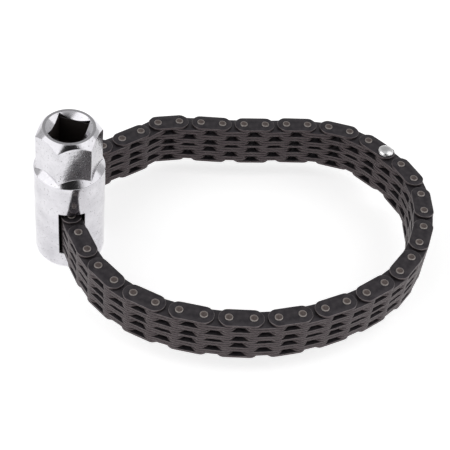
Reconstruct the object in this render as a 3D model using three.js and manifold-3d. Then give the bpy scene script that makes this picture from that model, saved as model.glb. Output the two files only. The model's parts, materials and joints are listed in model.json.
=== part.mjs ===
// Chain-type oil filter wrench: a socket body with a hexagon and a square drive hole, and an
// endless leaf chain that passes through a window low in the body.
// Millimetres, +Z up. The origin is on the body's axis at its bottom face, the chain's window
// runs along Y, and the chain's loop lies on the +X side.
import * as THREE from 'three';
import { mergeVertices } from 'three/addons/utils/BufferGeometryUtils.js';
import Module from 'manifold-3d';

const wasm = await Module();
wasm.setup();

// --- Driving dimensions ------------------------------------------------------------------

// Chain: 3/8 inch pitch, an even number of links, alternately outer and inner.
const PITCH = 9.525;
const LINK_COUNT = 44;
const JOINING_LINK = 25;
const PLATE_WIDTH = 8.26;
const PLATE_OVERHANG = 4.05;
const PLATE_CORNER = 2.4;
const PLATE_THICKNESS = 1.17;
const LAYER_GAP = 0.26;
const PIN_DIAMETER = 3.28;
const PIN_PROUD = 0.35;
const PIN_CLEARANCE = 0.32;
const PIN_SIDES = 6;
const HOLE_SIDES = 4;
// Plates in each layer of the stack, from the bottom; odd layers belong to outer links.
const LAYER_PLATES = [1, 2, 2, 2, 1, 2, 2, 2, 1];
const CHAIN_BOTTOM = 8.95;

// Joining rivet: a shank with a domed head at each end.
const RIVET_HEAD_DIAMETER = 6.8;
const RIVET_HEAD_HEIGHT = 1.7;
const RIVET_CLEARANCE = 0.55;
const RIVET_SIDES = 12;
const RIVET_DOME_STEPS = 3;
const RIVET_SEAT_GAP = 0.3;

// Socket body.
const BODY_DIAMETER = 28.5;
const BODY_LENGTH = 66.1;
const BODY_SIDES = 36;
const BOTTOM_CHAMFER = 1.0;
const SHOULDER_HEIGHT = 45.8;
const SHOULDER_SLOPE = 1.0;
const HEX_ACROSS_FLATS = 23.2;
const HEX_TURN = THREE.MathUtils.degToRad(-23.2);
const RIM_DIAMETER = 20.6;
const RIM_SLOPE = 1.1;
const DRIVE_SQUARE = 12.8;
const DRIVE_DEPTH = 22;
const LEAD_IN_DIAMETER = 18.4;
const LEAD_IN_SLOPE = 0.7;
const WINDOW_WIDTH = 10.1;
const WINDOW_BOTTOM = 8.3;
const WINDOW_TOP = 31.1;

// Route of the chain's pins, as it lies on a bench: points chosen along the loop, starting
// inside the window and going out through its front.
const LOOP_POINTS = [
  [0, -2], [0, -11.5], [2.2, -21], [8.8, -39], [21, -53.5], [37.5, -63], [55.5, -68],
  [74.5, -69.5], [93.5, -66.5], [111.5, -60], [127.5, -50], [139.5, -35.5], [146.5, -17.5],
  [147, 1.5], [138.5, 18.5], [125.5, 32], [107, 37.5], [88, 38.5], [69, 40], [50.5, 42.5],
  [41, 42], [33, 37], [16, 28.5], [7.2, 24], [1, 17], [-0.2, 7.5],
];

// Finishes.
const CHROME = new THREE.MeshStandardMaterial({ color: 0xcfd0d4, roughness: 0.14, metalness: 1.0 });
const BLUED_STEEL = new THREE.MeshStandardMaterial({ color: 0x3b383d, roughness: 0.45, metalness: 0.8 });
const BRIGHT_RIVET = new THREE.MeshStandardMaterial({ color: 0xd8d9dc, roughness: 0.2, metalness: 1.0 });

// --- Solids ------------------------------------------------------------------------------

// A closed three.js geometry as a manifold-3d solid, ready to be joined or cut.
function solid(geometry) {
  const positions = geometry.clone();
  positions.deleteAttribute('normal');
  positions.deleteAttribute('uv');
  const merged = mergeVertices(positions, 1e-5);
  const mesh = new wasm.Mesh({
    numProp: 3,
    vertProperties: Float32Array.from(merged.attributes.position.array),
    triVerts: Uint32Array.from(merged.index.array),
  });
  return new wasm.Manifold(mesh);
}

// The surface of a solid as a three.js geometry.
function surface(body) {
  const mesh = body.getMesh();
  const geometry = new THREE.BufferGeometry();
  geometry.setAttribute('position', new THREE.BufferAttribute(mesh.vertProperties, 3));
  geometry.setIndex(new THREE.BufferAttribute(mesh.triVerts, 1));
  geometry.computeVertexNormals();
  return geometry;
}

// Points of a regular polygon whose corners lie on a circle.
function polygon(sides, radius, x = 0, turn = 0) {
  return Array.from({ length: sides }, (_, i) => {
    const angle = turn + (2 * Math.PI * i) / sides;
    return new THREE.Vector2(x + radius * Math.cos(angle), radius * Math.sin(angle));
  });
}

// A flat outline raised from one height to another.
function slab(shape, bottom, top) {
  const geometry = new THREE.ExtrudeGeometry(shape, { depth: top - bottom, bevelEnabled: false });
  return geometry.translate(0, 0, bottom);
}

// A turned solid about the Z axis from [radius, height] pairs that start and end on the axis.
function turned(profile, sides) {
  const points = profile.map(([radius, height]) => new THREE.Vector2(radius, height));
  return new THREE.LatheGeometry(points, sides).rotateX(Math.PI / 2);
}

// --- Route of the chain ------------------------------------------------------------------

// Pins one pitch apart along the closed route, and how far round the route the last chord ends.
function walkRoute(scale) {
  const points = LOOP_POINTS.map(([x, y]) => new THREE.Vector3(x * scale, y * scale, 0));
  const route = new THREE.CatmullRomCurve3(points, true);
  const pins = [route.getPoint(0)];
  let place = 0;
  for (let i = 0; i < LINK_COUNT; i += 1) {
    let near = place;
    let far = place + 0.05;
    for (let step = 0; step < 40; step += 1) {
      const middle = (near + far) / 2;
      const reach = route.getPoint(middle % 1).distanceTo(pins[i]);
      if (reach < PITCH) near = middle;
      else far = middle;
    }
    place = near;
    pins.push(route.getPoint(place % 1));
  }
  return { pins, place };
}

// The route is scaled by a little so that the links close it exactly.
function closedPins() {
  let small = 0.95;
  let large = 1.05;
  for (let step = 0; step < 50; step += 1) {
    const scale = (small + large) / 2;
    if (walkRoute(scale).place > 1) small = scale;
    else large = scale;
  }
  const { pins } = walkRoute((small + large) / 2);
  // The walk starts at the last pin but one, which lies near the middle of the window.
  return Array.from({ length: LINK_COUNT }, (_, i) => pins[(i + 2) % LINK_COUNT]);
}

// --- Chain -------------------------------------------------------------------------------

// Height of every layer of plates: { bottom, top, plates, outer }.
function stackLayers() {
  let height = CHAIN_BOTTOM;
  return LAYER_PLATES.map((plates, i) => {
    const bottom = height;
    const top = bottom + plates * PLATE_THICKNESS;
    height = top + LAYER_GAP;
    return { bottom, top, plates, outer: i % 2 === 0 };
  });
}

// Outline of one plate, from its own pin at x = 0 to the next pin one pitch along X.
function plateOutline() {
  const side = PLATE_WIDTH / 2;
  const end = PITCH + PLATE_OVERHANG;
  const cut = PLATE_CORNER;
  return new THREE.Shape([
    new THREE.Vector2(-PLATE_OVERHANG, cut - side),
    new THREE.Vector2(cut - PLATE_OVERHANG, -side),
    new THREE.Vector2(end - cut, -side),
    new THREE.Vector2(end, cut - side),
    new THREE.Vector2(end, side - cut),
    new THREE.Vector2(end - cut, side),
    new THREE.Vector2(cut - PLATE_OVERHANG, side),
    new THREE.Vector2(-PLATE_OVERHANG, side - cut),
  ]);
}

// A clearance hole whose flats stand off the pin it turns on.
function clearanceHole(x, clearance) {
  const radius = (PIN_DIAMETER / 2 + clearance) / Math.cos(Math.PI / HOLE_SIDES);
  return new THREE.Path(polygon(HOLE_SIDES, radius, x, Math.PI / HOLE_SIDES));
}

// A whole link: its layers of plates, fixed on its own pin and bored for the next link's pin.
function linkGeometry(layers, outer, nextClearance) {
  const shape = plateOutline();
  shape.holes.push(clearanceHole(PITCH, nextClearance));
  const pinBottom = layers[0].bottom - PIN_PROUD;
  const pinTop = layers.at(-1).top + PIN_PROUD;
  const pin = slab(new THREE.Shape(polygon(PIN_SIDES, PIN_DIAMETER / 2)), pinBottom, pinTop);
  return layers
    .filter((layer) => layer.outer === outer)
    .map((layer) => solid(slab(shape, layer.bottom, layer.top)))
    .reduce((link, plate) => link.add(plate), solid(pin));
}

// One loose plate of the joining link, bored at both ends.
function joiningPlateGeometry(bottom, top) {
  const shape = plateOutline();
  shape.holes.push(clearanceHole(0, RIVET_CLEARANCE), clearanceHole(PITCH, PIN_CLEARANCE));
  return slab(shape, bottom, top);
}

// The joining rivet's shank and its two domed heads.
function rivetGeometry(layers) {
  const shank = PIN_DIAMETER / 2;
  const head = RIVET_HEAD_DIAMETER / 2;
  const seatLow = layers[0].bottom - RIVET_SEAT_GAP;
  const seatHigh = layers.at(-1).top + RIVET_SEAT_GAP;
  const dome = Array.from({ length: RIVET_DOME_STEPS + 1 }, (_, i) => {
    const angle = (Math.PI / 2) * (i / RIVET_DOME_STEPS);
    return [head * Math.cos(angle), RIVET_HEAD_HEIGHT * Math.sin(angle)];
  });
  const upper = dome.map(([radius, rise]) => [radius, seatHigh + rise]);
  const lower = dome.map(([radius, rise]) => [radius, seatLow - rise]).reverse();
  upper.at(-1)[0] = 0;
  lower[0][0] = 0;
  return turned([...lower, [shank, seatLow], [shank, seatHigh], ...upper], RIVET_SIDES);
}

// --- Socket body -------------------------------------------------------------------------

function socketGeometry() {
  const radius = BODY_DIAMETER / 2;
  const hexFlat = HEX_ACROSS_FLATS / 2;
  const hexCorner = hexFlat / Math.cos(Math.PI / 6);
  const rim = RIM_DIAMETER / 2;
  const coneTop = hexFlat - 2;

  const barrel = turned([
    [0, 0],
    [radius - BOTTOM_CHAMFER, 0],
    [radius, BOTTOM_CHAMFER],
    [radius, SHOULDER_HEIGHT],
    [coneTop, SHOULDER_HEIGHT + (radius - coneTop) * SHOULDER_SLOPE],
    [0, SHOULDER_HEIGHT + (radius - coneTop) * SHOULDER_SLOPE],
  ], BODY_SIDES);

  const hexShape = new THREE.Shape(polygon(6, hexCorner, 0, HEX_TURN + Math.PI / 6));
  const hexBar = solid(slab(hexShape, SHOULDER_HEIGHT - 2, BODY_LENGTH));
  const rimCone = turned([
    [0, 0],
    [radius, 0],
    [radius, BODY_LENGTH - (radius - rim) * RIM_SLOPE],
    [rim, BODY_LENGTH],
    [0, BODY_LENGTH],
  ], BODY_SIDES);
  const hexagon = hexBar.intersect(solid(rimCone));

  const squareCorner = DRIVE_SQUARE / Math.SQRT2;
  const squareShape = new THREE.Shape(polygon(4, squareCorner, 0, HEX_TURN + Math.PI / 4));
  const square = slab(squareShape, BODY_LENGTH - DRIVE_DEPTH, BODY_LENGTH + 1);
  const leadIn = LEAD_IN_DIAMETER / 2;
  const leadInCone = turned([
    [0, BODY_LENGTH - leadIn * LEAD_IN_SLOPE],
    [leadIn, BODY_LENGTH],
    [leadIn, BODY_LENGTH + 1],
    [0, BODY_LENGTH + 1],
  ], BODY_SIDES);

  const windowHeight = WINDOW_TOP - WINDOW_BOTTOM;
  const window = new THREE.BoxGeometry(WINDOW_WIDTH, BODY_DIAMETER + 2, windowHeight);
  window.translate(0, 0, WINDOW_BOTTOM + windowHeight / 2);

  return surface(solid(barrel)
    .add(hexagon)
    .subtract(solid(square))
    .subtract(solid(leadInCone))
    .subtract(solid(window)));
}

// --- Assembly ----------------------------------------------------------------------------

function addPart(parent, name, geometry, material) {
  const mesh = new THREE.Mesh(geometry, material);
  mesh.name = name;
  parent.add(mesh);
}

const wrench = new THREE.Group();
addPart(wrench, 'socket_body', socketGeometry(), CHROME);

const layers = stackLayers();
const outerLink = surface(linkGeometry(layers, true, PIN_CLEARANCE));
const innerLink = surface(linkGeometry(layers, false, PIN_CLEARANCE));
const riveted = surface(linkGeometry(layers, false, RIVET_CLEARANCE));
const pins = closedPins();

for (let number = 1; number <= LINK_COUNT; number += 1) {
  const pin = pins[number - 1];
  const next = pins[number % LINK_COUNT];
  const place = new THREE.Group();
  place.position.copy(pin);
  place.rotation.z = Math.atan2(next.y - pin.y, next.x - pin.x);
  wrench.add(place);
  const outer = number % 2 === 1;
  if (number === JOINING_LINK) {
    // The joining link comes apart: seven loose plates held by the rivet.
    let plateNumber = 1;
    for (const layer of layers.filter((each) => each.outer)) {
      const gaps = (layer.plates - 1) * RIVET_SEAT_GAP;
      const thickness = (layer.top - layer.bottom - gaps) / layer.plates;
      for (let i = 0; i < layer.plates; i += 1) {
        const bottom = layer.bottom + i * (thickness + RIVET_SEAT_GAP);
        const plate = joiningPlateGeometry(bottom, bottom + thickness);
        addPart(place, `joining_plate_${plateNumber}`, plate, BLUED_STEEL);
        plateNumber += 1;
      }
    }
    addPart(place, 'joining_rivet', rivetGeometry(layers), BRIGHT_RIVET);
  } else {
    const kind = outer ? 'outer' : 'inner';
    const name = `chain_link_${String(number).padStart(2, '0')}_${kind}`;
    const beforeRivet = number === JOINING_LINK - 1;
    const geometry = beforeRivet ? riveted : (outer ? outerLink : innerLink);
    addPart(place, name, geometry, BLUED_STEEL);
  }
}

export default wrench;
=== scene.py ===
"""Chain oil filter wrench: the fine meshes, finishes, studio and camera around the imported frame."""
import json
import math

import bmesh
import bpy
from mathutils import Matrix, Quaternion, Vector


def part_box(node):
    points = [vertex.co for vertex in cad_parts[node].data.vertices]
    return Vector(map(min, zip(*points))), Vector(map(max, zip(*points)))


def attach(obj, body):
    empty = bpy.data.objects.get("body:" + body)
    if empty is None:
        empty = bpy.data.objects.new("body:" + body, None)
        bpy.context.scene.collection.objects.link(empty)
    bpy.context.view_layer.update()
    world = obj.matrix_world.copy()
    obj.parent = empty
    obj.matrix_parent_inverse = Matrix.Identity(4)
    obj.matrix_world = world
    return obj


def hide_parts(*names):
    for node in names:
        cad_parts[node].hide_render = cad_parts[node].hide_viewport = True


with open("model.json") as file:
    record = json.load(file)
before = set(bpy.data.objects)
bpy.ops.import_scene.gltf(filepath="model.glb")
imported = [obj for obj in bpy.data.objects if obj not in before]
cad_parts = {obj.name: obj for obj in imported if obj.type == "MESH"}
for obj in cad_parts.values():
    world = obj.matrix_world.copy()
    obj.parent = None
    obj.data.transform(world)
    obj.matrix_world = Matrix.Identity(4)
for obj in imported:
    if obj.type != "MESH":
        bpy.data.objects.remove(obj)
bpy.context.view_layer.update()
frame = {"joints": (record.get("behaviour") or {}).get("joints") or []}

MM = 0.001

# --- Driving dimensions ----------------------------------------------------------------

# Chain. Odd layers of the stack belong to the outer links, from the bottom up.
LINK_COUNT = 44
JOINING_LINK = 25
LAYER_PLATES = [1, 2, 2, 2, 1, 2, 2, 2, 1]
PLATE_GAP = 0.3 * MM
PLATE_HALF_WIDTH = 4.12 * MM
PLATE_OVERHANG = 4.04 * MM
PLATE_CORNER = 2.4 * MM
PLATE_SOFTNESS = 12
PLATE_ROLL = 0.18 * MM
PIN_RADIUS = 1.64 * MM
PIN_PROUD = 0.35 * MM
PIN_CLEARANCE = 0.14 * MM
RIVET_CLEARANCE = 0.55 * MM
RIVET_HEAD_RADIUS = 3.4 * MM

# Socket body. The barrel's radius and the body's length come from the imported solid, and the
# drive hole is painted dark below DRIVE_MOUTH, as shade.
SHOULDER_HEIGHT = 45.8 * MM
SHOULDER_SLOPE = 1.0
HEX_APOTHEM = 11.6 * MM
HEX_TURN = math.radians(-23.2)
RIM_RADIUS = 10.3 * MM
RIM_SLOPE = 1.1
LEAD_IN_RADIUS = 9.2 * MM
LEAD_IN_SLOPE = 0.7
DRIVE_APOTHEM = 6.4 * MM
DRIVE_DEPTH = 22 * MM
DRIVE_MOUTH = 64.1 * MM
WINDOW_HALF_WIDTH = 5.05 * MM
WINDOW_BOTTOM = 8.3 * MM
WINDOW_TOP = 31.1 * MM
BOTTOM_ROUND = 1.5 * MM
EDGE_ROUND = 0.4 * MM

# Socket mesh. Rows and columns stand close together on the rolled edge round the window, at
# these shares of EDGE_ROUND, and columns do so at the hexagon's corners, at these angles.
LIP_SHARES = (0, 0.1, 0.35, 0.65, 1)
CORNER_COLUMNS = [math.radians(off) for off in (-0.9, -0.45, 0, 0.45, 0.9)]
COLUMN_STEP = math.radians(2.2)
WINDOW_STEPS = 12

# Camera: angles in degrees, distances in metres, lens and sensor in millimetres.
VIEW_AZIMUTH = -14.27
VIEW_ELEVATION = 46.55
VIEW_ROLL = 7.7
VIEW_DISTANCE = 0.4681
VIEW_TARGET = Vector((61.1, -21.0, 28.9)) * MM
LENS = 92.6
SENSOR_WIDTH = 36

# Studio.
FLOOR_GLOW = 0.52
FLOOR_HALF_SIZE = 4.0
FLOOR_DROP = 0.02 * MM
ROOM_STRENGTH = 0.58
OVERHEAD = Vector((0.17, 0.67, 0.73)).normalized()
DARK_SIDE = Vector((0.06, -0.78, 0.62)).normalized()
SOFT_BOX_DISTANCE = 0.9
SOFT_BOX_SIZE = 1.1

socket_low, socket_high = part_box("socket_body")
barrel_radius = (socket_high.x - socket_low.x) / 2
socket_length = socket_high.z


# --- Node materials --------------------------------------------------------------------

class Finish:
    """A material and short ways to add nodes to it."""

    def __init__(self, name):
        self.material = bpy.data.materials.new(name)
        self.material.use_nodes = True
        self.nodes = self.material.node_tree.nodes
        self.links = self.material.node_tree.links
        self.shader = self.nodes["Principled BSDF"]
        self.place = self.add("ShaderNodeTexCoord").outputs["Object"]

    def add(self, kind, **settings):
        node = self.nodes.new(kind)
        for name, value in settings.items():
            setattr(node, name, value)
        return node

    def put(self, node, name, value):
        """Sets an input to a number or colour, or links an output to it."""
        if isinstance(value, bpy.types.NodeSocket):
            self.links.new(value, node.inputs[name])
        else:
            node.inputs[name].default_value = value

    def noise(self, size, detail=3.0):
        node = self.add("ShaderNodeTexNoise")
        self.put(node, "Scale", 1 / size)
        self.put(node, "Detail", detail)
        self.put(node, "Vector", self.place)
        return node.outputs["Fac"]

    def spots(self, size, radius):
        """1 in small scattered round spots, 0 elsewhere."""
        node = self.add("ShaderNodeTexVoronoi")
        self.put(node, "Scale", 1 / size)
        self.put(node, "Vector", self.place)
        return self.span(node.outputs["Distance"], radius, radius * 0.5, 0, 1)

    def span(self, value, low, high, to_low, to_high):
        node = self.add("ShaderNodeMapRange")
        self.put(node, "Value", value)
        self.put(node, "From Min", low)
        self.put(node, "From Max", high)
        self.put(node, "To Min", to_low)
        self.put(node, "To Max", to_high)
        return node.outputs[0]

    def combine(self, a, b, operation="ADD"):
        """The sum of two values, or another operation on them."""
        node = self.add("ShaderNodeMath", operation=operation)
        self.links.new(a, node.inputs[0])
        if isinstance(b, bpy.types.NodeSocket):
            self.links.new(b, node.inputs[1])
        else:
            node.inputs[1].default_value = b
        return node.outputs[0]

    def mix(self, amount, first, second):
        node = self.add("ShaderNodeMix", data_type="RGBA")
        self.put(node, "Factor", amount)
        for name, value in (("A", first), ("B", second)):
            socket = next(s for s in node.inputs if s.name == name and s.type == "RGBA")
            if isinstance(value, bpy.types.NodeSocket):
                self.links.new(value, socket)
            else:
                socket.default_value = value
        return next(s for s in node.outputs if s.type == "RGBA")

    def blend(self, value, low, high, first, second):
        """From the first colour to the second as a value goes from low to high."""
        return self.mix(self.span(value, low, high, 0, 1), (*first, 1), (*second, 1))

    def bump(self, height, distance, strength):
        node = self.add("ShaderNodeBump")
        self.put(node, "Height", height)
        self.put(node, "Distance", distance)
        self.put(node, "Strength", strength)
        self.links.new(node.outputs[0], self.shader.inputs["Normal"])

    def bore_shade(self):
        """1 inside the drive hole and the window, where the chrome is painted dark as shade; 0 on the
        outside of the socket.
        """
        axes = self.add("ShaderNodeSeparateXYZ")
        self.put(axes, "Vector", self.place)
        x, y, height = axes.outputs
        across = self.combine(self.combine(x, x, "MULTIPLY"), self.combine(y, y, "MULTIPLY"))
        across = self.combine(across, 0.5, "POWER")
        upper = self.span(height, DRIVE_MOUTH, DRIVE_MOUTH - 0.3 * MM, 0, 1)
        inside = self.span(across, HEX_APOTHEM - 0.6 * MM, HEX_APOTHEM - 1.2 * MM, 0, 1)
        drive = self.combine(upper, inside, "MULTIPLY")
        lower = self.span(height, WINDOW_TOP + 2 * MM, WINDOW_TOP + MM, 0, 1)
        inside = self.span(across, barrel_radius - 0.9 * MM, barrel_radius - 1.8 * MM, 0, 1)
        window = self.combine(lower, inside, "MULTIPLY")
        above_base = self.span(height, 1 * MM, 3 * MM, 0, 1)
        return self.combine(self.combine(drive, window, "MAXIMUM"), above_base, "MULTIPLY")

    def attribute(self, name):
        return self.add("ShaderNodeAttribute", attribute_name=name).outputs["Fac"]


def chrome_finish():
    """Chrome plate with fine pits and faint ripples, and painted shade: the bores are coloured near black.
    """
    finish = Finish("socket_chrome")
    pits = finish.spots(1.5 * MM, 0.21)
    patches = finish.noise(7 * MM)
    grain = finish.noise(1.3 * MM, 5.0)
    colour = finish.blend(patches, 0.35, 0.7, (0.72, 0.71, 0.74), (0.60, 0.59, 0.62))
    colour = finish.mix(finish.span(grain, 0.55, 0.75, 0, 0.35), colour, (0.45, 0.44, 0.46, 1))
    colour = finish.mix(finish.combine(pits, 0.5, "MULTIPLY"), colour, (0.16, 0.15, 0.16, 1))
    bore_shade = finish.bore_shade()
    # Painted shade: the drive hole and the window are coloured near black, and they are also duller and
    # less metallic.
    finish.put(finish.shader, "Base Color", finish.mix(bore_shade, colour, (0.030, 0.024, 0.022, 1)))
    finish.put(finish.shader, "Metallic", finish.span(bore_shade, 0, 1, 1.0, 0.4))
    polish = finish.span(patches, 0.3, 0.7, 0.115, 0.185)
    dull = finish.combine(bore_shade, 0.4, "MULTIPLY")
    finish.put(finish.shader, "Roughness", finish.combine(polish, dull))
    ripple = finish.combine(grain, finish.combine(pits, -0.6, "MULTIPLY"))
    finish.bump(ripple, 0.035 * MM, 0.7)
    return finish.material


def chain_finish():
    """Blued plate steel: dark faces, browner punched edges, and corners lightened as wear and as a painted
    edge highlight.
    """
    finish = Finish("chain_steel")
    rim = finish.attribute("rim")
    mottle = finish.noise(2.4 * MM, 5.0)
    grain = finish.noise(0.35 * MM, 4.0)
    face = finish.blend(mottle, 0.35, 0.7, (0.048, 0.043, 0.049), (0.078, 0.070, 0.076))
    edge = finish.blend(grain, 0.3, 0.7, (0.038, 0.027, 0.030), (0.088, 0.068, 0.071))
    colour = finish.mix(finish.span(rim, 0.15, 0.95, 0, 1), face, edge)
    # The middle of each rolled edge is lightened: partly wear, partly a painted highlight.
    wear_and_highlight = finish.combine(finish.span(rim, 0.0, 0.5, 0, 1), finish.span(rim, 0.5, 1.0, 1, 0), "MULTIPLY")
    wear_and_highlight = finish.combine(wear_and_highlight, finish.span(mottle, 0.3, 0.6, 0.25, 0.8), "MULTIPLY")
    colour = finish.mix(wear_and_highlight, colour, (0.36, 0.33, 0.33, 1))
    specks = finish.spots(3.7 * MM, 0.06)
    colour = finish.mix(finish.combine(specks, 0.5, "MULTIPLY"), colour, (0.16, 0.13, 0.12, 1))
    finish.put(finish.shader, "Base Color", colour)
    finish.put(finish.shader, "Metallic", 0.75)
    finish.put(finish.shader, "Roughness", finish.span(mottle, 0.3, 0.7, 0.36, 0.5))
    finish.bump(finish.combine(grain, mottle), 0.02 * MM, 0.8)
    return finish.material


def pin_finish():
    """Riveted-over pin ends: brown-grey steel, with a painted highlight round the rim of each peened end.
    """
    finish = Finish("pin_steel")
    rim = finish.attribute("rim")
    grain = finish.noise(0.5 * MM, 4.0)
    face = finish.blend(grain, 0.3, 0.7, (0.11, 0.088, 0.082), (0.20, 0.165, 0.155))
    # Painted highlight: the rim of each pin end is coloured light.
    finish.put(finish.shader, "Base Color", finish.mix(rim, face, (0.5, 0.46, 0.44, 1)))
    finish.put(finish.shader, "Metallic", 0.85)
    finish.put(finish.shader, "Roughness", finish.span(grain, 0.3, 0.7, 0.28, 0.45))
    finish.bump(grain, 0.02 * MM, 0.8)
    return finish.material


def rivet_finish():
    """The joining rivet's bright plated domes, with faint uneven marks."""
    finish = Finish("rivet_steel")
    marks = finish.noise(0.9 * MM, 4.0)
    colour = finish.blend(marks, 0.35, 0.65, (0.84, 0.84, 0.85), (0.77, 0.76, 0.76))
    finish.put(finish.shader, "Base Color", colour)
    finish.put(finish.shader, "Metallic", 1.0)
    finish.put(finish.shader, "Roughness", finish.span(marks, 0.3, 0.7, 0.14, 0.26))
    finish.bump(marks, 0.02 * MM, 0.6)
    return finish.material


# --- Meshes ----------------------------------------------------------------------------

def make_mesh(name, vertices, faces, rim=None, sharp=35):
    """A closed mesh with its normals outside. rim is one number for each vertex."""
    mesh = bpy.data.meshes.new(name)
    mesh.from_pydata(vertices, [], faces)
    if rim is not None:
        mesh.attributes.new("rim", "FLOAT", "POINT").data.foreach_set("value", rim)
    build = bmesh.new()
    build.from_mesh(mesh)
    bmesh.ops.remove_doubles(build, verts=build.verts, dist=1e-7)
    bmesh.ops.recalc_face_normals(build, faces=build.faces)
    build.to_mesh(mesh)
    build.free()
    mesh.shade_smooth()
    mesh.set_sharp_from_angle(angle=math.radians(sharp))
    return mesh


def show(name, mesh, material, matrix, body, slot, *replaced):
    """Places one piece. Links share their meshes, so a mesh may have its material already."""
    piece = bpy.data.objects.new(name, mesh)
    bpy.context.scene.collection.objects.link(piece)
    if not mesh.materials:
        mesh.materials.append(material)
    piece.matrix_world = matrix
    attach(piece, body)
    if replaced:
        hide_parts(*replaced)


def turned(name, profile, sides):
    """A solid turned about Z from (radius, height, rim) points that start and end on the axis."""
    vertices = []
    rims = []
    faces = []
    inner = profile[1:-1]
    for radius, height, rim in inner:
        for side in range(sides):
            angle = 2 * math.pi * side / sides
            vertices.append((radius * math.cos(angle), radius * math.sin(angle), height))
            rims.append(rim)
    for ring in range(len(inner) - 1):
        for side in range(sides):
            following = (side + 1) % sides
            low, high = ring * sides, (ring + 1) * sides
            faces.append((low + side, low + following, high + following, high + side))
    for end, first in ((profile[0], 0), (profile[-1], (len(inner) - 1) * sides)):
        vertices.append((0, 0, end[1]))
        rims.append(end[2])
        centre = len(vertices) - 1
        faces += [(first + side, first + (side + 1) % sides, centre) for side in range(sides)]
    return make_mesh(name, vertices, faces, rims)


# --- Socket body -----------------------------------------------------------------------

def hexagon_radius(angle):
    """Distance from the axis to the hexagon, whose corners are slightly rounded."""
    third = math.pi / 3
    off_corner = abs((angle - HEX_TURN) % third - third / 2)
    centre = (HEX_APOTHEM - EDGE_ROUND) / math.cos(math.pi / 6)
    tangent = math.atan2(EDGE_ROUND * 0.5, centre + EDGE_ROUND * math.cos(math.pi / 6))
    if off_corner < tangent:
        across = centre * math.sin(off_corner)
        return centre * math.cos(off_corner) + math.sqrt(EDGE_ROUND ** 2 - across ** 2)
    return HEX_APOTHEM / math.cos(math.pi / 6 - off_corner)


def square_radius(angle):
    """Distance from the axis to the square hole."""
    quarter = math.pi / 2
    off_flat = (angle - HEX_TURN + quarter / 2) % quarter - quarter / 2
    return DRIVE_APOTHEM / math.cos(off_flat)


def rounded(points):
    """A profile of (radius, height, rounding) corners with each corner replaced by a curve."""
    steps = 4
    line = []
    for i, (radius, height, rounding) in enumerate(points):
        here = Vector((radius, height))
        if not rounding:
            line.append(here)
            continue
        before = Vector(points[i - 1][:2]) - here
        after = Vector(points[i + 1][:2]) - here
        half = before.angle(after) / 2
        reach = min(rounding / math.tan(half), before.length * 0.45, after.length * 0.45)
        start = here + before.normalized() * reach
        end = here + after.normalized() * reach
        for step in range(steps + 1):
            share = step / steps
            line.append(start.lerp(here, share).lerp(here.lerp(end, share), share))
    return line


def window_rows():
    """Heights of the barrel's rows, close together at the window's edges."""
    height = WINDOW_TOP - WINDOW_BOTTOM
    below = [WINDOW_BOTTOM - EDGE_ROUND * share for share in reversed(LIP_SHARES)]
    above = [WINDOW_TOP + EDGE_ROUND * share for share in LIP_SHARES]
    inside = [WINDOW_BOTTOM + height * i / WINDOW_STEPS for i in range(1, WINDOW_STEPS)]
    return below + inside + above


def window_lip(point, radius):
    """The barrel's surface rolls in at the window's edges."""
    beside = max(0, abs(point.x) - WINDOW_HALF_WIDTH)
    over = max(0, point.z - WINDOW_TOP, WINDOW_BOTTOM - point.z)
    off = math.hypot(beside, over)
    if off >= EDGE_ROUND:
        return point
    depth = EDGE_ROUND - math.sqrt(EDGE_ROUND ** 2 - (EDGE_ROUND - off) ** 2)
    return Vector((point.x, point.y - math.copysign(depth, point.y), point.z))


def socket_angles(radius):
    """Directions of the socket's columns: every edge that runs up it has a column of its own."""
    edges = []
    for share in LIP_SHARES:
        edge = math.asin((WINDOW_HALF_WIDTH + EDGE_ROUND * share) / radius)
        for front in (-math.pi / 2, math.pi / 2):
            edges += [front - edge, front + edge]
    for corner in range(6):
        middle = HEX_TURN + math.pi / 6 + corner * math.pi / 3
        edges += [middle + off for off in CORNER_COLUMNS]
    edges += [HEX_TURN + math.pi / 4 + corner * math.pi / 2 for corner in range(4)]
    edges = sorted((edge + math.pi) % (2 * math.pi) - math.pi for edge in edges)
    angles = []
    for i, edge in enumerate(edges):
        following = edges[(i + 1) % len(edges)]
        gap = (following - edge) % (2 * math.pi)
        steps = max(1, round(gap / COLUMN_STEP))
        angles += [edge + gap * step / steps for step in range(steps)]
    return angles


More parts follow.
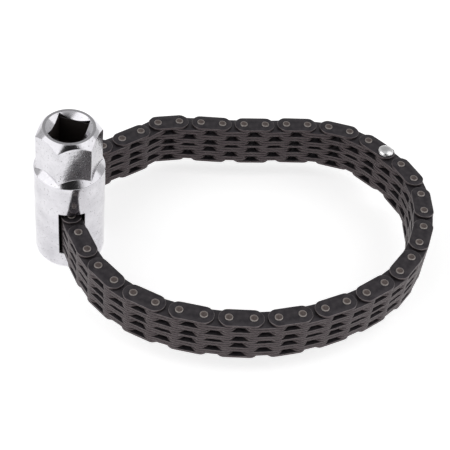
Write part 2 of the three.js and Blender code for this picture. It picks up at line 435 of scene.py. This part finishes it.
def socket_mesh():
    """The whole socket: columns of points from the bottom up and down into the drive hole."""
    radius = barrel_radius
    length = socket_length
    angles = socket_angles(radius)
    rows = window_rows()
    edge = math.asin(WINDOW_HALF_WIDTH / radius)
    vertices = []
    columns = []
    for angle in angles:
        hexagon = hexagon_radius(angle)
        square = square_radius(angle)
        lower = rounded([
            (0, 0, 0),
            (radius * 0.6, 0, 0),
            (radius, 0, BOTTOM_ROUND),
            (radius, rows[0], 0),
        ])[1:-1]
        upper = rounded([
            (radius, rows[-1], 0),
            (radius, SHOULDER_HEIGHT, EDGE_ROUND),
            (hexagon, SHOULDER_HEIGHT + (radius - hexagon) * SHOULDER_SLOPE, EDGE_ROUND),
            (hexagon, length - (hexagon - RIM_RADIUS) * RIM_SLOPE, EDGE_ROUND * 1.5),
            (RIM_RADIUS, length, EDGE_ROUND),
            (LEAD_IN_RADIUS, length, EDGE_ROUND),
            (square, length - (LEAD_IN_RADIUS - square) * LEAD_IN_SLOPE, EDGE_ROUND * 0.6),
            (square, length - DRIVE_DEPTH, 0),
            (square * 0.5, length - DRIVE_DEPTH, 0),
        ])[1:]
        wall = [Vector((radius, height)) for height in rows]
        column = []
        for row, place in enumerate([*lower, *wall, *upper]):
            point = Vector((place.x * math.cos(angle), place.x * math.sin(angle), place.y))
            if len(lower) <= row < len(lower) + len(wall):
                point = window_lip(point, radius)
            column.append(len(vertices))
            vertices.append(point)
        columns.append(column)

    first = len(lower) + rows.index(WINDOW_BOTTOM)
    last = len(lower) + rows.index(WINDOW_TOP)

    def opening(angle):
        """True for a column inside the window or on its edge."""
        return abs(abs(angle) - math.pi / 2) < edge + 1e-6

    faces = []
    for i, column in enumerate(columns):
        following = columns[(i + 1) % len(columns)]
        in_window = opening(angles[i]) and opening(angles[(i + 1) % len(angles)])
        for row in range(len(column) - 1):
            if in_window and first <= row < last:
                continue
            faces.append((column[row], following[row], following[row + 1], column[row + 1]))
    faces.append([column[0] for column in reversed(columns)])
    faces.append([column[-1] for column in columns])

    # The window's walls run straight from the front opening to the back one.
    front = [i for i, angle in enumerate(angles) if opening(angle) and angle < 0]
    back = [i for i, angle in enumerate(angles) if opening(angle) and angle > 0]
    front.sort(key=lambda i: angles[i])
    back.sort(key=lambda i: -angles[i])
    pairs = list(zip(front, back))
    for (a, b), (c, d) in zip(pairs, pairs[1:]):
        for row in (first, last):
            faces.append((columns[a][row], columns[c][row], columns[d][row], columns[b][row]))
    for a, b in (pairs[0], pairs[-1]):
        for row in range(first, last):
            near, far = columns[a], columns[b]
            faces.append((near[row], far[row], far[row + 1], near[row + 1]))
    used = sorted({index for face in faces for index in face})
    renumbered = {index: i for i, index in enumerate(used)}
    faces = [[renumbered[index] for index in face] for face in faces]
    kept = [vertices[index] for index in used]
    return make_mesh("socket_body_fine", kept, faces, sharp=40)


# --- Chain -----------------------------------------------------------------------------

def plate_outline(pitch, inset):
    """Half of a plate's outline, round its own pin, from mid-length on one side to the other."""
    width = PLATE_HALF_WIDTH - inset
    reach = PLATE_OVERHANG - inset
    points = [(pitch / 2, width), (pitch / 4, width)]
    bevel = (reach + width - PLATE_CORNER) / math.sqrt(2)
    sides = [(math.pi / 2, width), (math.pi * 0.75, bevel), (math.pi, reach),
             (math.pi * 1.25, bevel), (math.pi * 1.5, width)]
    steps = 16
    for step in range(steps + 1):
        turn = math.pi / 2 + math.pi * step / steps
        pull = sum(max(0, math.cos(turn - normal) / off) ** PLATE_SOFTNESS for normal, off in sides)
        size = pull ** (-1 / PLATE_SOFTNESS)
        points.append((size * math.cos(turn), size * math.sin(turn)))
    return points + [(pitch / 4, -width), (pitch / 2, -width)]


def half_plate(pitch, bottom, top, hole):
    """Vertices, faces and rim values of a plate's half round the pin at x = 0."""
    # The third numbers are rim values: the middle of the roll, at 0.5, is lightened as wear and as a
    # painted highlight.
    rings = [
        (PLATE_ROLL, bottom, 0.0),
        (PLATE_ROLL * 0.3, bottom + PLATE_ROLL * 0.3, 0.5),
        (0, bottom + PLATE_ROLL, 1.0),
        (0, top - PLATE_ROLL, 1.0),
        (PLATE_ROLL * 0.3, top - PLATE_ROLL * 0.3, 0.5),
        (PLATE_ROLL, top, 0.0),
    ]
    vertices = []
    faces = []
    rims = []
    middles = 3
    count = len(plate_outline(pitch, 0))
    for inset, height, rim in rings:
        for x, y in plate_outline(pitch, inset):
            vertices.append((x, y, height))
            rims.append(rim)
    for ring in range(len(rings) - 1):
        for i in range(count - 1):
            low = ring * count + i
            faces.append((low, low + 1, low + count + 1, low + count))

    # The flat faces run from the outline, closed by points across mid-length, to the hole.
    width = PLATE_HALF_WIDTH - PLATE_ROLL
    steps = [2 * width * i / (middles + 1) for i in range(1, middles + 1)]
    across = [(pitch / 2, step - width) for step in steps]
    loop = plate_outline(pitch, PLATE_ROLL) + across
    holes = []
    for height, edge_start in ((bottom, 0), (top, (len(rings) - 1) * count)):
        middle_start = len(vertices)
        vertices += [(x, y, height) for x, y in across]
        hole_start = len(vertices)
        for x, y in loop:
            turn = math.atan2(y, x)
            vertices.append((hole * math.cos(turn), hole * math.sin(turn), height))
        rims += [0.0] * (len(across) + len(loop))
        holes.append(hole_start)
        outer = [edge_start + i for i in range(count)]
        outer += [middle_start + i for i in range(middles)]
        for i in range(len(loop)):
            following = (i + 1) % len(loop)
            faces.append((outer[i], outer[following], hole_start + following, hole_start + i))
    low, high = holes
    for i in range(len(loop)):
        following = (i + 1) % len(loop)
        faces.append((low + i, low + following, high + following, high + i))
    return vertices, faces, rims


def plate_parts(pitch, bottom, top, next_clearance):
    """One plate with two holes: a half round its own pin and a mirrored half round the next."""
    vertices, faces, rims = half_plate(pitch, bottom, top, PIN_RADIUS + PIN_CLEARANCE)
    far, far_faces, far_rims = half_plate(pitch, bottom, top, PIN_RADIUS + next_clearance)
    faces += [[index + len(vertices) for index in face] for face in far_faces]
    vertices += [(pitch - x, y, z) for x, y, z in far]
    return vertices, faces, rims + far_rims


def plates_mesh(name, pitch, levels, next_clearance=PIN_CLEARANCE):
    vertices = []
    faces = []
    rims = []
    for bottom, top in levels:
        more, more_faces, more_rims = plate_parts(pitch, bottom, top, next_clearance)
        faces += [[index + len(vertices) for index in face] for face in more_faces]
        vertices += more
        rims += more_rims
    return make_mesh(name, vertices, faces, rims)


def pin_mesh(bottom, top):
    """A pin with both ends peened over into low, slightly dished heads."""
    # The third numbers mark the rim that gets a painted highlight.
    end = [
        (0, -0.16, 0.0),
        (0.62, -0.10, 0.0),
        (0.82, 0, 0.35),
        (0.95, -0.07, 1.0),
        (1.0, -0.22, 1.0),
    ]
    upper = [(PIN_RADIUS * share, top + drop * MM, rim) for share, drop, rim in end]
    lower = [(PIN_RADIUS * share, bottom - drop * MM, rim) for share, drop, rim in end]
    return turned("chain_pin_fine", lower + upper[::-1], sides=28)


def rivet_mesh(bottom, top, seat_low, seat_high):
    """The joining rivet: a shank between two domed heads."""
    rise = top - seat_high
    dome = []
    steps = 9
    for step in range(steps + 1):
        turn = math.pi / 2 * step / steps
        dome.append((RIVET_HEAD_RADIUS * math.sin(turn), rise * (1 - math.cos(turn) ** 0.9)))
    upper = [(radius, top - drop, 0.0) for radius, drop in dome]
    lower = [(radius, bottom + drop, 0.0) for radius, drop in dome]
    neck = [(PIN_RADIUS, seat_low, 0.0), (PIN_RADIUS, seat_high, 0.0)]
    return turned("joining_rivet_fine", lower + neck + upper[::-1], sides=40)


def pin_places():
    """Where each pin stands on the plane: the hinges are on all of them but the joining rivet."""
    places = {}
    for joint in frame["joints"]:
        if joint["type"] == "hinge":
            places[int(joint["name"][4:6])] = Vector((joint["pos_m"][0], joint["pos_m"][1], 0))
    low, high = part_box("joining_rivet")
    places[JOINING_LINK] = Vector(((low.x + high.x) / 2, (low.y + high.y) / 2, 0))
    return places


def plate_levels():
    """Bottom and top of every plate, as the plates of outer links and those of inner links."""
    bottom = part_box("joining_plate_1")[0].z
    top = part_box("joining_plate_7")[1].z
    total = sum(LAYER_PLATES)
    thickness = (top - bottom - PLATE_GAP * (total - 1)) / total
    outer = []
    inner = []
    level = bottom
    for layer, plates in enumerate(LAYER_PLATES):
        for _ in range(plates):
            (inner if layer % 2 else outer).append((level, level + thickness))
            level += thickness + PLATE_GAP
    return outer, inner


def build_chain(steel, pin_steel, rivet_steel):
    places = pin_places()
    outer, inner = plate_levels()
    pitch = (places[2] - places[1]).length
    outer_mesh = plates_mesh("outer_plates_fine", pitch, outer)
    inner_mesh = plates_mesh("inner_plates_fine", pitch, inner)
    riveted_mesh = plates_mesh("riveted_plates_fine", pitch, inner, RIVET_CLEARANCE)
    pin = pin_mesh(outer[0][0] - PIN_PROUD, outer[-1][1] + PIN_PROUD)
    for number in range(1, LINK_COUNT + 1):
        here = places[number]
        along = places[number % LINK_COUNT + 1] - here
        turn = Matrix.Rotation(math.atan2(along.y, along.x), 4, "Z")
        placed = Matrix.Translation(here) @ turn
        body = f"link_{number:02d}"
        is_outer = number % 2 == 1
        if number == JOINING_LINK:
            for plate, level in enumerate(outer, 1):
                node = f"joining_plate_{plate}"
                mesh = plates_mesh(f"{node}_fine", pitch, [level])
                show(f"{node}_blued", mesh, steel, placed, body, "chain_steel", node)
            low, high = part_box("joining_rivet")
            mesh = rivet_mesh(low.z, high.z, outer[0][0] - PLATE_GAP, outer[-1][1] + PLATE_GAP)
            show("joining_rivet_domed", mesh, rivet_steel, placed, body, "rivet_steel", "joining_rivet")
        else:
            kind = "outer" if is_outer else "inner"
            mesh = outer_mesh if is_outer else inner_mesh
            if number == JOINING_LINK - 1:
                mesh = riveted_mesh
            node = f"chain_link_{number:02d}_{kind}"
            show(f"{node}_plates", mesh, steel, placed, body, "chain_steel", node)
            # Pins belong to the outer links: an inner link's pin is held by the link before it.
            holder = body if is_outer else f"link_{number - 1:02d}"
            show(f"chain_pin_{number:02d}", pin, pin_steel, placed, holder, "chain_steel")


# --- Studio ----------------------------------------------------------------------------

def build_floor():
    finish = Finish("studio_floor")
    tone = finish.noise(0.5, 1.0)
    colour = finish.blend(tone, 0, 1, (0.86, 0.86, 0.86), (0.88, 0.88, 0.88))
    finish.put(finish.shader, "Base Color", colour)
    finish.put(finish.shader, "Roughness", 0.9)
    finish.put(finish.shader, "Specular IOR Level", 0.1)
    finish.put(finish.shader, "Emission Color", (1, 1, 1, 1))
    finish.put(finish.shader, "Emission Strength", FLOOR_GLOW)
    size = FLOOR_HALF_SIZE
    corners = [(-size, -size, 0), (size, -size, 0), (size, size, 0), (-size, size, 0)]
    mesh = bpy.data.meshes.new("floor")
    mesh.from_pydata(corners, [], [(0, 1, 2, 3)])
    mesh.materials.append(finish.material)
    floor = bpy.data.objects.new("floor", mesh)
    floor.location.z = -FLOOR_DROP
    bpy.context.scene.collection.objects.link(floor)


def build_world():
    """A white room with a dimmer patch overhead and a dark one high in front."""
    world = bpy.data.worlds.new("studio")
    bpy.context.scene.world = world
    world.use_nodes = True
    nodes = world.node_tree.nodes
    links = world.node_tree.links
    place = nodes.new("ShaderNodeTexCoord").outputs["Generated"]

    def ramp(value, stops):
        node = nodes.new("ShaderNodeValToRGB")
        links.new(value, node.inputs[0])
        node.color_ramp.elements[0].position = stops[0][0]
        node.color_ramp.elements[0].color = (*[stops[0][1]] * 3, 1)
        node.color_ramp.elements[1].position = stops[-1][0]
        node.color_ramp.elements[1].color = (*[stops[-1][1]] * 3, 1)
        for position, tone in stops[1:-1]:
            node.color_ramp.elements.new(position).color = (tone, tone, tone, 1)
        return node.outputs[0]

    def along(axis):
        node = nodes.new("ShaderNodeVectorMath")
        node.operation = "DOT_PRODUCT"
        links.new(place, node.inputs[0])
        node.inputs[1].default_value = axis
        shift = nodes.new("ShaderNodeMapRange")
        shift.inputs["From Min"].default_value = -1
        links.new(node.outputs["Value"], shift.inputs["Value"])
        return shift.outputs[0]

    above = ramp(along(OVERHEAD), [(0.0, 1.0), (0.9, 1.0), (0.97, 0.72), (1.0, 0.66)])
    front = ramp(along(DARK_SIDE), [(0.0, 1.0), (0.925, 1.0), (0.953, 0.05), (1.0, 0.02)])
    product = nodes.new("ShaderNodeMix")
    product.data_type = "RGBA"
    product.blend_type = "MULTIPLY"
    product.inputs["Factor"].default_value = 1
    colours = [s for s in product.inputs if s.type == "RGBA"]
    links.new(above, colours[0])
    links.new(front, colours[1])
    result = next(s for s in product.outputs if s.type == "RGBA")
    background = nodes["Background"]
    links.new(result, background.inputs["Color"])
    background.inputs["Strength"].default_value = ROOM_STRENGTH


def direction(azimuth, elevation):
    """From the wrench towards a place, with azimuth 0 in front and positive to the right."""
    turn, rise = math.radians(azimuth), math.radians(elevation)
    level = math.cos(rise)
    return Vector((math.sin(turn) * level, -math.cos(turn) * level, math.sin(rise)))


def soft_light(name, azimuth, elevation, power):
    """A square soft box that faces the wrench."""
    light = bpy.data.lights.new(name, "AREA")
    light.size = SOFT_BOX_SIZE
    light.energy = power
    lamp = bpy.data.objects.new(name, light)
    away = direction(azimuth, elevation)
    lamp.location = VIEW_TARGET + away * SOFT_BOX_DISTANCE
    lamp.rotation_mode = "QUATERNION"
    lamp.rotation_quaternion = away.to_track_quat("Z", "Y")
    lamp.visible_camera = False
    bpy.context.scene.collection.objects.link(lamp)


def build_camera():
    back = direction(VIEW_AZIMUTH, VIEW_ELEVATION)
    data = bpy.data.cameras.new("camera")
    data.lens = LENS
    data.sensor_width = SENSOR_WIDTH
    camera = bpy.data.objects.new("camera", data)
    camera.location = VIEW_TARGET + back * VIEW_DISTANCE
    camera.rotation_mode = "QUATERNION"
    roll = Quaternion((0, 0, 1), math.radians(VIEW_ROLL))
    camera.rotation_quaternion = (-back).to_track_quat("-Z", "Y") @ roll
    bpy.context.scene.collection.objects.link(camera)
    bpy.context.scene.camera = camera


build_camera()
build_world()
build_floor()
soft_light("left_soft_box", azimuth=-75, elevation=35, power=3.4)
soft_light("right_soft_box", azimuth=70, elevation=40, power=2.6)
bpy.context.scene.view_settings.view_transform = "Standard"

socket_place = Matrix.Identity(4)
chrome = chrome_finish()
show("socket_body_polished", socket_mesh(), chrome, socket_place, "socket", "socket_chrome", "socket_body")
build_chain(chain_finish(), pin_finish(), rivet_finish())
